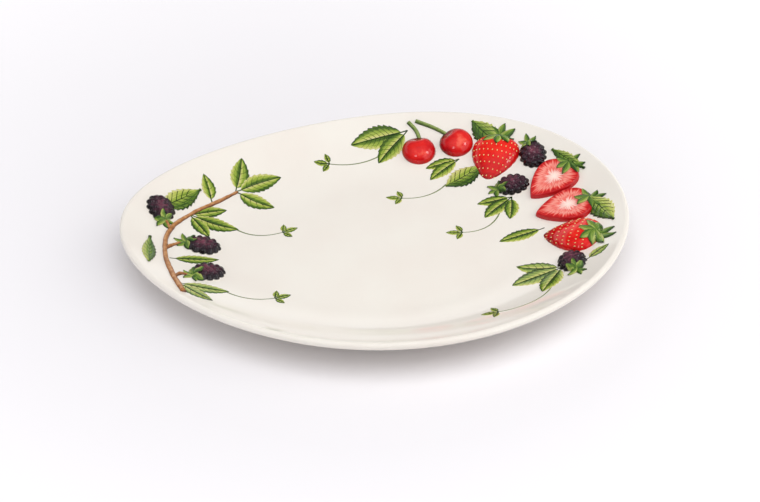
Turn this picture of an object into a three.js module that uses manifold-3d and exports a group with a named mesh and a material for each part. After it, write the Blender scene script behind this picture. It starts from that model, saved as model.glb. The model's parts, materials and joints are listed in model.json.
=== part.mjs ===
// Oval coupe plate in glazed earthenware, with berries, caps, stalks and leaves in relief on its dish.
// Millimetres, +Z up. The origin is on the table, under the middle of the rim's outline.
// +X runs to the blunt end.
import * as THREE from "three";
import { mergeVertices } from "three/addons/utils/BufferGeometryUtils.js";
import Module from "manifold-3d";

const wasm = await Module();
wasm.setup();

// Rim outline, seen from above
const PLATE_LENGTH = 366;
const PLATE_WIDTH = 272.6;
const BLUNT_END_SWELL = 11.1; // half-width gained at the blunt end and lost at the narrow one
const AXIS_BOW = 16.3; // how far both ends swing back from the middle
const AXIS_SWEEP = 9.1; // how far the blunt end swings forward and the narrow end back

// Section of the dish
const RIM_HEIGHT = 30;
const LIP_RADIUS = 2.6;
const WALL_THICKNESS = 5.6;
const FOOT_HEIGHT = 3.4;
const FOOT_WIDTH = 8;
const FOOT_ROUNDING = 0.8;
const FOOT_SHARE = 0.62; // size of the foot's outer edge against the rim
const WELL_SHARE = 0.5; // size of the flat well against the rim
const DISH_POWER = 2.1; // how late the wall turns up towards the lip
const LIP_LEAN = THREE.MathUtils.degToRad(30); // slope of the wall where it meets the lip

// Relief, applied to the dish
const SEAT_GAP = 0.3; // clearance under and between the applied pieces
const LEAF_RELIEF = 1.3;
const CAP_THICKNESS = 1.5;
const STALK_RADIUS = 1.5;
const TWIG_RADIUS = 2.0;
const CHERRY_DIAMETER = 26;
const CHERRY_DIMPLE = 2.6;
const CHERRY_DIMPLE_SPREAD = 0.45; // radians from the stalk
const CHERRY_RELIEF = 8.5;
const CHERRY_TIP = THREE.MathUtils.degToRad(52); // how far the dimple leans to the lip
const STRAWBERRY_LENGTH = 45;
const STRAWBERRY_WIDTH = 37;
const STRAWBERRY_RELIEF = 9;
const HEART_FULLEST = 0.62; // power that moves a heart's fullest part to its shoulder
const HEART_BLUNTNESS = 0.72; // power that swells its shoulder and tip
const HALF_BERRY_LENGTH = 43;
const HALF_BERRY_WIDTH = 35;
const HALF_BERRY_RELIEF = 4.4;
const HALF_BERRY_BEVEL = 1.8;
const BRAMBLE_LENGTH = 27;
const BRAMBLE_WIDTH = 22;
const DRUPELET_DEPTH = 1.7; // from a drupelet's crown down to the valleys round it
const STRAWBERRY_CAP_REACH = 14;
const BRAMBLE_CAP_REACH = 9.5;
const STRAWBERRY_SEPALS = 7;
const HALF_BERRY_SEPALS = 6;
const BRAMBLE_SEPALS = 5;
const SEPAL_NOTCH = 0.42; // reach of the notches between sepals against the sepals' own
const BROAD_LEAF_LENGTH = 36;
const BROAD_LEAF_WIDTH = 18;
const RIM_LEAF_LENGTH = 34;
const RIM_LEAF_WIDTH = 10;
const LEAF_TEETH = 9;
const TOOTH_NOTCH = 0.84; // half-width at the notches between teeth against the teeth's own
const LEAF_FULLEST = 0.85; // power that moves a leaf's fullest part to its base

// Fineness of the facets
const RIM_SEGMENTS = 84;
const WALL_RINGS = 8;
const UNDERSIDE_RINGS = 6;
const LIP_STEPS = 6;
const WELL_RINGS = 2;
const BERRY_SEGMENTS = 16;
const BERRY_RINGS = 9;
const TUBE_SIDES = 6;
const TWIG_STEPS = 20;
const STALK_STEPS = 8;
const SPUR_STEPS = 4;
const BEVEL_STEPS = 2;

// Places on the dish: bearing round the plate from +X in degrees, share of the way from the middle
// to the rim, and the turn of the piece's stalk end away from the lip in degrees.
const CHERRIES = [
  { bearing: 68.5, share: 0.78, turn: 25 },
  { bearing: 57.6, share: 0.84, turn: 70 },
];
const CHERRY_STALKS = [
  { cherry: 0, by: { bearing: 71, share: 0.905 }, to: { bearing: 73.6, share: 0.955 } },
  { cherry: 1, by: { bearing: 66, share: 0.92 }, to: { bearing: 71.7, share: 0.96 } },
];
const STRAWBERRIES = [
  { bearing: 42, share: 0.785, turn: 24 },
  { bearing: -16.8, share: 0.79, turn: -22 },
];
const HALF_BERRIES = [
  { bearing: 16.6, share: 0.81, turn: 14 },
  { bearing: 0.4, share: 0.78, turn: -6 },
];
const BRAMBLES = [
  { bearing: 31.7, share: 0.876, turn: 62, relief: 6.6 },
  { bearing: 25.5, share: 0.69, turn: 165, relief: 7 },
  { bearing: -33, share: 0.84, turn: -66, relief: 7 },
  { bearing: 199, share: 0.745, turn: 20, relief: 5.5 },
  { bearing: 178, share: 0.7, turn: -10, relief: 5.5 },
  { bearing: 159, share: 0.9, turn: 120, relief: 5.5 },
];
const TWIG = [
  { bearing: 212, share: 0.965 },
  { bearing: 200, share: 0.9 },
  { bearing: 186, share: 0.86 },
  { bearing: 170, share: 0.83 },
  { bearing: 155, share: 0.79 },
  { bearing: 142, share: 0.76 },
  { bearing: 132, share: 0.76 },
];
const TWIG_SPURS = [
  [
    { bearing: 202, share: 0.905 },
    { bearing: 200, share: 0.86 },
    { bearing: 200.3, share: 0.838 },
  ],
  [
    { bearing: 184, share: 0.855 },
    { bearing: 180, share: 0.815 },
    { bearing: 178.2, share: 0.79 },
  ],
  [
    { bearing: 170, share: 0.83 },
    { bearing: 165.5, share: 0.855 },
    { bearing: 164, share: 0.885 },
  ],
];
const BROAD_LEAF = { length: BROAD_LEAF_LENGTH, width: BROAD_LEAF_WIDTH };
const RIM_LEAF = { length: RIM_LEAF_LENGTH, width: RIM_LEAF_WIDTH };
const LEAVES = [
  { bearing: 49.5, share: 0.905, turn: 72, ...BROAD_LEAF },
  { bearing: 46, share: 0.64, turn: 165, ...BROAD_LEAF },
  { bearing: 21, share: 0.935, turn: 100, ...RIM_LEAF },
  { bearing: -7, share: 0.92, turn: 105, ...BROAD_LEAF },
  { bearing: 187, share: 0.925, turn: 84, ...RIM_LEAF },
  { bearing: 149, share: 0.87, turn: 60, ...BROAD_LEAF },
];

const GLAZE = { roughness: 0.12, metalness: 0 };
const white = () => new THREE.MeshStandardMaterial({ color: 0xf1ece1, ...GLAZE });
const cherryRed = () => new THREE.MeshStandardMaterial({ color: 0xb3141b, ...GLAZE });
const strawberryRed = () => new THREE.MeshStandardMaterial({ color: 0xd01f1c, ...GLAZE });
const cutPink = () => new THREE.MeshStandardMaterial({ color: 0xe06a5c, ...GLAZE });
const bramblePurple = () => new THREE.MeshStandardMaterial({ color: 0x2b1620, ...GLAZE });
const leafGreen = () => new THREE.MeshStandardMaterial({ color: 0x5f8f2f, ...GLAZE });
const stalkGreen = () => new THREE.MeshStandardMaterial({ color: 0x6d8a3c, ...GLAZE });
const twigBrown = () => new THREE.MeshStandardMaterial({ color: 0x8a5a3a, ...GLAZE });

const { degToRad } = THREE.MathUtils;
const FULL_TURN = 2 * Math.PI;
const WELL_HEIGHT = FOOT_HEIGHT + WALL_THICKNESS;
const BELOW_TABLE = -20;
const WELD_DISTANCE = 1e-3;

// Rim outline: an ellipse with a swollen end, whose long axis bows and sweeps
function rawOutline(angle) {
  const c = Math.cos(angle);
  const s = Math.sin(angle);
  const across = (PLATE_WIDTH / 2 + BLUNT_END_SWELL * c) * s;
  const drift = AXIS_BOW * (c * c - 0.5) - AXIS_SWEEP * c ** 3;
  return new THREE.Vector2((PLATE_LENGTH / 2) * c, across + drift);
}

// Middle of the outline's box, which the origin lies under
function outlineMiddle() {
  const samples = 3600;
  const box = new THREE.Box2();
  for (let i = 0; i < samples; i++) box.expandByPoint(rawOutline((i / samples) * FULL_TURN));
  return box.getCenter(new THREE.Vector2());
}
const MIDDLE = outlineMiddle();

// A point of the outline, moved in by inset and then drawn towards the middle by share
function ringPoint(angle, share, inset) {
  const step = 1e-4;
  const tangent = rawOutline(angle + step).sub(rawOutline(angle - step)).normalize();
  const inward = new THREE.Vector2(-tangent.y, tangent.x);
  return rawOutline(angle).sub(MIDDLE).addScaledVector(inward, inset).multiplyScalar(share);
}

// The lip is a round bead: the wall runs into its top at LIP_LEAN, and leaves its underside at the same slope
const lipCentre = RIM_HEIGHT - LIP_RADIUS;
const lipPoint = (angle) => ({
  share: 1,
  inset: LIP_RADIUS * (1 - Math.cos(angle)),
  z: lipCentre + LIP_RADIUS * Math.sin(angle),
});
const LIP_TOP = lipPoint(Math.PI / 2 + LIP_LEAN);
const LIP_UNDER = lipPoint(LIP_LEAN - Math.PI / 2);

// Height of the wall's top or underside at a share of the way out
function wallHeight(share, lowest, highest) {
  const climb = Math.max(0, (share - WELL_SHARE) / (1 - WELL_SHARE));
  return lowest + (highest - lowest) * climb ** DISH_POWER;
}
const dishHeight = (share) => wallHeight(share, WELL_HEIGHT, LIP_TOP.z);
const undersideHeight = (share) => wallHeight(share, FOOT_HEIGHT, LIP_UNDER.z);

// Even steps from one number to another, both included
function between(from, to, count) {
  return Array.from({ length: count + 1 }, (_, i) => from + ((to - from) * i) / count);
}

// Points of the eating surface from the middle out to the lip, lifted off the dish
function dishTop(lift) {
  const shares = [...between(0, WELL_SHARE, WELL_RINGS), ...between(WELL_SHARE, 1, WALL_RINGS).slice(1)];
  return shares.map((share) => ({ share, inset: LIP_TOP.inset, z: dishHeight(share) + lift }));
}

// Turns a section, given from the middle of its top to the middle of its bottom, round the plate's outline
function turnedRound(section) {
  const plain = section.map((point) => new THREE.Vector2(point.share, point.z));
  const geometry = new THREE.LatheGeometry(plain, RIM_SEGMENTS);
  const position = geometry.getAttribute("position");
  for (let i = 0; i <= RIM_SEGMENTS; i++) {
    const angle = -((i % RIM_SEGMENTS) / RIM_SEGMENTS) * FULL_TURN;
    section.forEach((point, j) => {
      const at = ringPoint(angle, point.share, point.inset);
      position.setXYZ(i * section.length + j, at.x, at.y, point.z);
    });
  }
  return geometry;
}

// Foot ring: its outer side stands at FOOT_SHARE, and its flat sole is FOOT_WIDTH wide less the roundings
function footSection() {
  const at = (inward, z) => ({ share: FOOT_SHARE, inset: inward / FOOT_SHARE, z });
  return [
    at(0, undersideHeight(FOOT_SHARE)),
    at(0, FOOT_ROUNDING),
    at(FOOT_ROUNDING, 0),
    at(FOOT_WIDTH / 2, 0),
    at(FOOT_WIDTH - FOOT_ROUNDING, 0),
    at(FOOT_WIDTH, FOOT_ROUNDING),
    at(FOOT_WIDTH, FOOT_HEIGHT),
  ];
}

function plateGeometry() {
  const lip = between(Math.PI / 2 + LIP_LEAN, LIP_LEAN - Math.PI / 2, LIP_STEPS).slice(1, -1).map(lipPoint);
  const underside = between(1, FOOT_SHARE, UNDERSIDE_RINGS)
    .slice(0, -1)
    .map((share) => ({ share, inset: LIP_UNDER.inset, z: undersideHeight(share) }));
  const foot = footSection();
  const footInside = foot.at(-1);
  const base = between(FOOT_SHARE, 0, WELL_RINGS)
    .slice(1)
    .map((share) => ({ share, inset: footInside.inset, z: FOOT_HEIGHT }));
  return turnedRound([...dishTop(0), ...lip, ...underside, ...foot, ...base]);
}

// Solid of a closed geometry, and the geometry of a solid
function solidOf(geometry) {
  const plain = geometry.clone();
  plain.deleteAttribute("normal");
  plain.deleteAttribute("uv");
  const merged = mergeVertices(plain, WELD_DISTANCE);
  const vertProperties = merged.getAttribute("position").array;
  const triVerts = new Uint32Array(merged.index.array);
  return new wasm.Manifold(new wasm.Mesh({ numProp: 3, vertProperties, triVerts }));
}

function geometryOf(solid) {
  const mesh = solid.getMesh();
  const geometry = new THREE.BufferGeometry();
  geometry.setAttribute("position", new THREE.BufferAttribute(mesh.vertProperties, 3));
  geometry.setIndex(new THREE.BufferAttribute(mesh.triVerts, 1));
  geometry.computeVertexNormals();
  return geometry;
}

// What lies under the seats of the relief: the dish raised by the gap, filled down past the table
function seatBlock() {
  const bottom = [1, 0].map((share) => ({ share, inset: LIP_TOP.inset, z: BELOW_TABLE }));
  return solidOf(turnedRound([...dishTop(SEAT_GAP), ...bottom]));
}

// A skin of even height over the dish, which the leaves are cut from
function leafSkin() {
  const lower = dishTop(SEAT_GAP).reverse();
  return solidOf(turnedRound([...dishTop(SEAT_GAP + LEAF_RELIEF), ...lower]));
}
const SEAT_BLOCK = seatBlock();
const LEAF_SKIN = leafSkin();

// A point on the dish, and the frame of a piece seated there: +X to the lip, +Z off the dish
function dishPoint({ bearing, share }, lift = 0) {
  const plan = ringPoint(degToRad(bearing), share, LIP_TOP.inset);
  return new THREE.Vector3(plan.x, plan.y, dishHeight(share) + lift);
}

function seatFrame({ bearing, share, turn }) {
  const step = 1e-3;
  const shifted = (around, out) => dishPoint({ bearing: bearing + around, share: share + out });
  const radial = shifted(0, step).sub(shifted(0, -step)).normalize();
  const along = shifted(step, 0).sub(shifted(-step, 0));
  const normal = radial.clone().cross(along).normalize();
  const basis = new THREE.Matrix4().makeBasis(radial, normal.clone().cross(radial), normal);
  const turned = new THREE.Matrix4().makeRotationZ(degToRad(turn));
  return basis.multiply(turned).setPosition(shifted(0, 0));
}

// A berry in its seat: its bed is cut out of it, and so is each room that it keeps clear of
function seated(name, geometry, place, material, rooms) {
  const frame = seatFrame(place);
  const bedded = solidOf(geometry.applyMatrix4(frame)).subtract(SEAT_BLOCK);
  const clear = rooms.reduce((left, room) => left.subtract(room), bedded);
  return placed(name, geometryOf(clear), frame, material);
}

// Berries pressed on side by side: each keeps clear of those before it
const pressedRooms = [];
function pressed(name, form, place, material) {
  const berry = seated(name, form(0), place, material, pressedRooms);
  pressedRooms.push(roomOf(form(SEAT_GAP), place));
  return berry;
}

// A mesh whose geometry is given in the plate's frame, stored in the piece's own frame
function placed(name, geometry, frame, material) {
  const mesh = new THREE.Mesh(geometry.applyMatrix4(frame.clone().invert()), material);
  mesh.name = name;
  frame.decompose(mesh.position, mesh.quaternion, mesh.scale);
  return mesh;
}

// Cherry: a ball with a dimple at the stalk, tipped so that the dimple looks to the lip
function cherryGeometry(grow) {
  const radius = CHERRY_DIAMETER / 2 + grow;
  const section = between(0, Math.PI, BERRY_RINGS).map((angle) => {
    const dimple = CHERRY_DIMPLE * Math.exp(-((angle / CHERRY_DIMPLE_SPREAD) ** 2));
    return new THREE.Vector2(radius * Math.sin(angle), -(radius * Math.cos(angle) - dimple));
  });
  section[0].x = 0;
  section.at(-1).x = 0;
  return new THREE.LatheGeometry(section, BERRY_SEGMENTS)
    .rotateX(-Math.PI / 2)
    .rotateY(CHERRY_TIP)
    .scale(1, 1, (CHERRY_RELIEF + grow) / radius);
}

// Strawberry: a heart-shaped cone lying along X, its shoulder at +X and its tip at -X
function strawberryRadius(station) {
  return Math.sin(Math.PI * station ** HEART_FULLEST) ** HEART_BLUNTNESS;
}

function strawberryGeometry(grow) {
  const radius = STRAWBERRY_WIDTH / 2 + grow;
  const length = STRAWBERRY_LENGTH + 2 * grow;
  const section = between(0, 1, BERRY_RINGS).map((station) => {
    const reach = station === 0 || station === 1 ? 0 : radius * strawberryRadius(station);
    return new THREE.Vector2(reach, length * (station - 0.5));
  });
  const flattening = (STRAWBERRY_RELIEF + grow) / radius;
  return new THREE.LatheGeometry(section, BERRY_SEGMENTS)
    .rotateX(Math.PI / 2)
    .rotateY(-Math.PI / 2)
    .scale(1, 1, flattening);
}

// Half strawberry: the same heart as a slab with a rounded edge, its cut face up
function halfBerryGeometry(grow) {
  const bevel = HALF_BERRY_BEVEL;
  const length = HALF_BERRY_LENGTH + 2 * grow - 2 * bevel;
  const radius = HALF_BERRY_WIDTH / 2 + grow - bevel;
  const stations = between(0, 1, 2 * BERRY_RINGS);
  const side = stations.map((t) => new THREE.Vector2(length * (0.5 - t), radius * strawberryRadius(t)));
  const otherSide = side.slice(1, -1).reverse().map((point) => new THREE.Vector2(point.x, -point.y));
  const depth = 2 * (HALF_BERRY_RELIEF + grow - bevel);
  const rounding = { bevelThickness: bevel, bevelSize: bevel, bevelSegments: BEVEL_STEPS };
  const options = { depth, curveSegments: 1, ...rounding };
  const slab = new THREE.ExtrudeGeometry(new THREE.Shape([...side, ...otherSide]), options);
  return slab.translate(0, 0, -depth / 2);
}

// Bramble: an egg whose every corner is the crown of a drupelet, its stalk end at +X
function brambleCore(relief, grow) {
  const core = new THREE.SphereGeometry(1, BERRY_SEGMENTS, BERRY_RINGS);
  return core.rotateX(Math.PI / 2).scale(BRAMBLE_LENGTH / 2 + grow, BRAMBLE_WIDTH / 2 + grow, relief + grow);
}

function brambleGeometry(relief) {
  const ball = new THREE.IcosahedronGeometry(1, 1).getAttribute("position");
  const valleyRadius = 1 - DRUPELET_DEPTH / (BRAMBLE_WIDTH / 2);
  const corners = [];
  for (let first = 0; first < ball.count; first += 3) {
    const [a, b, c] = [0, 1, 2].map((k) => new THREE.Vector3().fromBufferAttribute(ball, first + k));
    const valley = a.clone().add(b).add(c).setLength(valleyRadius);
    corners.push(a, b, valley, b, c, valley, c, a, valley);
  }
  const bumps = new THREE.BufferGeometry().setFromPoints(corners);
  return bumps.scale(BRAMBLE_LENGTH / 2, BRAMBLE_WIDTH / 2, relief);
}

// Star of pointed sepals, as a tall prism centred on the berry's stalk end
function sepalStar(points, reach, centre) {
  const outline = Array.from({ length: 2 * points }, (_, i) => {
    const radius = i % 2 ? reach * SEPAL_NOTCH : reach;
    const angle = (i / points) * Math.PI;
    return new THREE.Vector2(centre + radius * Math.cos(angle), radius * Math.sin(angle));
  });
  const depth = 2 * reach;
  const prism = new THREE.ExtrudeGeometry(new THREE.Shape(outline), { depth, bevelEnabled: false });
  return prism.translate(0, 0, -reach / 2);
}

// Cap: the star cut from a skin over the berry, so that its sepals drape on the shoulder
function cap(name, form, star, place) {
  const frame = seatFrame(place);
  const inSeat = (geometry) => solidOf(geometry.applyMatrix4(frame));
  const skin = inSeat(form(SEAT_GAP + CAP_THICKNESS)).subtract(inSeat(form(SEAT_GAP)));
  const draped = skin.intersect(inSeat(star)).subtract(SEAT_BLOCK);
  return placed(name, geometryOf(draped), frame, leafGreen());
}

// Room taken by the berries with their caps, which leaves, stalks and the twig keep clear of
function roomOf(form, place) {
  return solidOf(form.applyMatrix4(seatFrame(place)));
}
const CAP_ROOM = CAP_THICKNESS + 2 * SEAT_GAP;
const BERRY_ROOM = [
  ...CHERRIES.map((place) => roomOf(cherryGeometry(SEAT_GAP), place)),
  ...STRAWBERRIES.map((place) => roomOf(strawberryGeometry(CAP_ROOM), place)),
  ...HALF_BERRIES.map((place) => roomOf(halfBerryGeometry(CAP_ROOM), place)),
  ...BRAMBLES.map((place) => roomOf(brambleCore(place.relief, CAP_ROOM), place)),
].reduce((room, berry) => room.add(berry));
const PLATE_FRAME = new THREE.Matrix4();

// Leaf: a toothed blade whose base is at +X and whose tip is at -X, cut from the skin over the dish
function leafOutline(length, width) {
  const side = between(0, 1, 2 * LEAF_TEETH).map((t, i) => {
    const tooth = i % 2 ? 1 : TOOTH_NOTCH;
    const halfWidth = (width / 2) * Math.sin(Math.PI * t ** LEAF_FULLEST) * tooth;
    return new THREE.Vector2(length * (0.5 - t), halfWidth);
  });
  side[0].y = 0;
  side.at(-1).y = 0;
  const otherSide = side.slice(1, -1).reverse().map((point) => new THREE.Vector2(point.x, -point.y));
  return new THREE.Shape([...side, ...otherSide]);
}

function leaf(name, place) {
  const frame = seatFrame(place);
  const depth = place.length;
  const outline = leafOutline(place.length, place.width);
  const blade = new THREE.ExtrudeGeometry(outline, { depth, bevelEnabled: false });
  const blank = solidOf(blade.translate(0, 0, -depth / 2).applyMatrix4(frame));
  const trimmed = blank.intersect(LEAF_SKIN).subtract(BERRY_ROOM);
  return placed(name, geometryOf(trimmed), frame, leafGreen());
}

// Round stem through points of the dish, half of it standing proud
function stemSolid(points, radius, steps) {
  const path = new THREE.CatmullRomCurve3(points);
  const corner = (angle) => new THREE.Vector2(radius * Math.cos(angle), radius * Math.sin(angle));
  const circle = new THREE.Shape(between(0, FULL_TURN, TUBE_SIDES).slice(1).map(corner));
  return solidOf(new THREE.ExtrudeGeometry(circle, { steps, extrudePath: path, bevelEnabled: false }));
}

function cherryStalk(name, { cherry, by, to }) {
  const frame = seatFrame(CHERRIES[cherry]);
  const start = new THREE.Vector3(CHERRY_DIAMETER / 4, 0, CHERRY_RELIEF / 2).applyMatrix4(frame);
  const points = [start, dishPoint(by, STALK_RADIUS / 2), dishPoint(to, STALK_RADIUS / 2)];
  const stalk = stemSolid(points, STALK_RADIUS, STALK_STEPS).subtract(SEAT_BLOCK).subtract(BERRY_ROOM);
  return placed(name, geometryOf(stalk), PLATE_FRAME, stalkGreen());
}

function brambleTwig() {
  const lifted = (place) => dishPoint(place, TWIG_RADIUS / 2);
  let twig = stemSolid(TWIG.map(lifted), TWIG_RADIUS, TWIG_STEPS);
  for (const spur of TWIG_SPURS) twig = twig.add(stemSolid(spur.map(lifted), STALK_RADIUS, SPUR_STEPS));
  const trimmed = twig.subtract(SEAT_BLOCK).subtract(BERRY_ROOM);
  return placed("bramble_twig", geometryOf(trimmed), PLATE_FRAME, twigBrown());
}

function plateBody() {
  return placed("plate_body", plateGeometry(), PLATE_FRAME, white());
}

const plate = new THREE.Group();
plate.add(plateBody());
CHERRIES.forEach((place, i) => {
  plate.add(pressed(`cherry_${i + 1}`, cherryGeometry, place, cherryRed()));
});
CHERRY_STALKS.forEach((stalk, i) => plate.add(cherryStalk(`cherry_stalk_${i + 1}`, stalk)));
STRAWBERRIES.forEach((place, i) => {
  const star = sepalStar(STRAWBERRY_SEPALS, STRAWBERRY_CAP_REACH, STRAWBERRY_LENGTH / 2 - CAP_THICKNESS);
  plate.add(pressed(`strawberry_${i + 1}`, strawberryGeometry, place, strawberryRed()));
  plate.add(cap(`strawberry_cap_${i + 1}`, strawberryGeometry, star, place));
});
HALF_BERRIES.forEach((place, i) => {
  const star = sepalStar(HALF_BERRY_SEPALS, STRAWBERRY_CAP_REACH, HALF_BERRY_LENGTH / 2 + CAP_THICKNESS);
  plate.add(pressed(`strawberry_half_${i + 1}`, halfBerryGeometry, place, cutPink()));
  plate.add(cap(`strawberry_half_cap_${i + 1}`, halfBerryGeometry, star, place));
});
BRAMBLES.forEach((place, i) => {
  const star = sepalStar(BRAMBLE_SEPALS, BRAMBLE_CAP_REACH, BRAMBLE_LENGTH / 2);
  plate.add(seated(`bramble_${i + 1}`, brambleGeometry(place.relief), place, bramblePurple(), []));
  plate.add(cap(`bramble_cap_${i + 1}`, (grow) => brambleCore(place.relief, grow), star, place));
});
plate.add(brambleTwig());
LEAVES.forEach((place, i) => plate.add(leaf(`relief_leaf_${i + 1}`, place)));

export default plate;
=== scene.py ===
"""Oval coupe plate in cream-white glazed earthenware, with berries in relief and painted leaves.

Tables are in millimetres and degrees, in the plate's own frame; meshes are in metres.
"""

import json
import math
import random

import bpy
from mathutils import Matrix, Vector

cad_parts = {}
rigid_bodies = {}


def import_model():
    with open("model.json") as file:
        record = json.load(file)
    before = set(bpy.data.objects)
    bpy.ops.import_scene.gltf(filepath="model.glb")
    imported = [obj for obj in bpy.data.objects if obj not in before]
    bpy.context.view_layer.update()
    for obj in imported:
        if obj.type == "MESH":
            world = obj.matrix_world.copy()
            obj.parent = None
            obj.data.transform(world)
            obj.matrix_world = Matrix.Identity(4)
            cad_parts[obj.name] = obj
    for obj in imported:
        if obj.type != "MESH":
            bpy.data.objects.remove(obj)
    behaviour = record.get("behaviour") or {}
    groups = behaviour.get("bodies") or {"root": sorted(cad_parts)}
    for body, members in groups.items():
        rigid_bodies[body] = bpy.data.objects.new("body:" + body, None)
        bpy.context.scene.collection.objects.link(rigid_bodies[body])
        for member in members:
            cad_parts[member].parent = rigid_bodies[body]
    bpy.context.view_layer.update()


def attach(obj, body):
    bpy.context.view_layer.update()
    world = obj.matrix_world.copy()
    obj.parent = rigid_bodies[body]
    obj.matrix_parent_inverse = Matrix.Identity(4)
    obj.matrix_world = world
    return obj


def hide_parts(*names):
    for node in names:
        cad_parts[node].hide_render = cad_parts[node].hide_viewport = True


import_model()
MM = 0.001

# Rim outline and section of the dish, as in the solids
PLATE_LENGTH = 366.0
PLATE_WIDTH = 272.6
BLUNT_END_SWELL = 11.1
AXIS_BOW = 16.3
AXIS_SWEEP = 9.1
RIM_HEIGHT = 30.0
LIP_RADIUS = 2.6
LIP_LEAN = math.radians(30)
LIP_START = LIP_LEAN + math.pi / 2
LIP_END = LIP_LEAN - math.pi / 2
WALL_THICKNESS = 5.6
FOOT_HEIGHT = 3.4
FOOT_WIDTH = 8.0
FOOT_ROUNDING = 0.8
FOOT_SHARE = 0.62
WELL_SHARE = 0.5
DISH_POWER = 2.1
WELL_HEIGHT = FOOT_HEIGHT + WALL_THICKNESS

# Mesh of the plate: columns round it, and rings in each stretch of its section
PLATE_COLUMNS = 168
WELL_RINGS = 6
WALL_RINGS = 22
LIP_RINGS = 12
UNDERSIDE_RINGS = 14
BASE_RINGS = 5
OUTSIDE_FOOT = 0.01  # share between the foot and the nearest ring on either side of it
INSIDE_FOOT = 0.02

# Small steps that slopes are found with, in radians, shares and degrees
ANGLE_STEP = 1e-4
SHARE_STEP = 1e-3
BEARING_STEP = 1e-2

# Relief: bearing round the plate, share of the way to the rim, and turn of the stalk end away from the lip
CHERRIES = [(68.5, 0.78, 25), (57.6, 0.84, 70)]
STRAWBERRIES = [(42, 0.785, 24), (-16.8, 0.79, -22)]
HALF_BERRIES = [(16.6, 0.81, 14), (0.4, 0.78, -6)]
BRAMBLES = [  # with the height of each
    (31.7, 0.876, 62, 6.6),
    (25.5, 0.69, 165, 7.0),
    (-33, 0.84, -66, 7.0),
    (199, 0.745, 20, 5.5),
    (178, 0.7, -10, 5.5),
    (159, 0.9, 120, 5.5),
]
BROAD_LEAF = 36, 18  # length and width
RIM_LEAF = 34, 10
RELIEF_LEAVES = [
    (49.5, 0.905, 72, *BROAD_LEAF),
    (46, 0.64, 165, *BROAD_LEAF),
    (21, 0.935, 100, *RIM_LEAF),
    (-7, 0.92, 105, *BROAD_LEAF),
    (187, 0.925, 84, *RIM_LEAF),
    (149, 0.87, 60, *BROAD_LEAF),
]

# Stems: bearing and share of each point on the way
CHERRY_STALKS = [
    [(68.9, 0.84), (71, 0.905), (73.6, 0.955)],
    [(60.2, 0.875), (66, 0.92), (71.7, 0.96)],
]
TWIG = [(212, 0.965), (200, 0.9), (186, 0.86), (170, 0.83), (155, 0.79), (142, 0.76), (132, 0.76)]
TWIG_SPURS = [
    [(202, 0.905), (200, 0.86), (200.3, 0.838)],
    [(184, 0.855), (180, 0.815), (178.2, 0.79)],
    [(170, 0.83), (165.5, 0.855), (164, 0.885)],
]

# Sizes of the relief
SUNK = 1.6  # how deep a berry is bedded in the dish
CHERRY_DIAMETER = 26.0
CHERRY_RELIEF = 8.5
CHERRY_TIP = 52  # how far the stalk end is tipped over
CHERRY_DIMPLE = 2.8
DIMPLE_SPREAD = 0.42
CHERRY_CLEFT = 0.5
CLEFT_SPREAD = 0.16
STRAWBERRY_LENGTH = 45.0
STRAWBERRY_WIDTH = 37.0
STRAWBERRY_RELIEF = 9.0
HEART_SHOULDER = 0.62  # power that puts the widest place near the stalk end
HEART_ROUNDNESS = 0.72
SEED_ROWS = 7
SEED_STATIONS = 0.2, 0.9  # first and last row
MOST_SEEDS = 15  # in the widest row
FEWEST_SEEDS = 5
SEED_MARGIN = 0.12  # share of each row at both ends that has none
SEED_RADIUS = 0.5
SEED_STRETCH = 1.5, 0.85, 0.7
SEED_SUNK = 0.2
PIT_DEPTH = 0.4
PIT_RADIUS = 1.2
HALF_BERRY_LENGTH = 43.0
HALF_BERRY_WIDTH = 35.0
HALF_BERRY_RELIEF = 4.4
HALF_BERRY_CORE = 4.0  # from the middle towards the stalk end
CUT_EDGE = 0.9  # share of the way out where the cut face turns over
CUT_ROWS = 0.62  # share of the rows spent on the cut face
HOLLOW_DEPTH = 0.55
HOLLOW_SHARE = 0.75
GROOVE_DEPTH = 0.35
GROOVE_SHARE = 0.3
GROOVE_SPREAD = 0.06
SIDE_POWER = 1.4
BRAMBLE_LENGTH = 27.0
BRAMBLE_WIDTH = 22.0
BRAMBLE_CORE_INSET = 2.2
BRAMBLE_CORE_DROP = 1.6
DRUPELET_RADIUS = 2.9
DRUPELET_SPREAD = 0.9, 1.06  # least and greatest share of that radius
DRUPELET_RINGS = [1, 6, 11, 13]
DRUPELET_RING_STEP = 30
BRAMBLE_VOXEL = 0.32
STALK_RADIUS = 1.5
TWIG_RADIUS = 2.0
STEM_LIFT = 0.05  # share of its radius that a stem's middle stands over the dish
BARK_GRAIN = 4.0
BARK_DEPTH = 1.1
CAP_THICKNESS = 0.9
SEPAL_START = 0.6  # how far behind the cap's middle a sepal starts
SEPAL_BREADTH = 0.5  # share of the cap's reach
SEPAL_FOLD = 0.35  # height of the lowest sepal
SEPAL_STEP = 0.08
SEPAL_CROWN = 0.5
LEAF_RELIEF = 1.3
LEAF_EDGE = 0.35
LEAF_THICKNESS = 1.2
LEAF_FULLNESS = 0.85  # power that puts the widest place near the stalk end
LEAF_LEAST = 0.2  # half breadth at both ends
LEAF_TEETH = 9
LEAF_TOOTH_DEPTH = 0.1
MIDRIB_DEPTH = 0.45
MIDRIB_SPREAD = 0.1
RIB_END = 0.47  # share of the length from the middle to the end of the drawn rib
RIB_LIFT = 0.95
VEIN_SWELL = 0.44
VEIN_SWELLS = 6  # along the leaf
VEIN_SLANT = 1.3
VEIN_PAIRS = 5
VEIN_ROOTS = 0.08, 0.62  # shares of the length where the first and last pair start
VEIN_ADVANCE = 0.2  # share of the length and of the breadth that a vein crosses
VEIN_CROSSING = 0.43
VEIN_WIDTH = 0.8
VEIN_LIFT = 0.08

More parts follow.
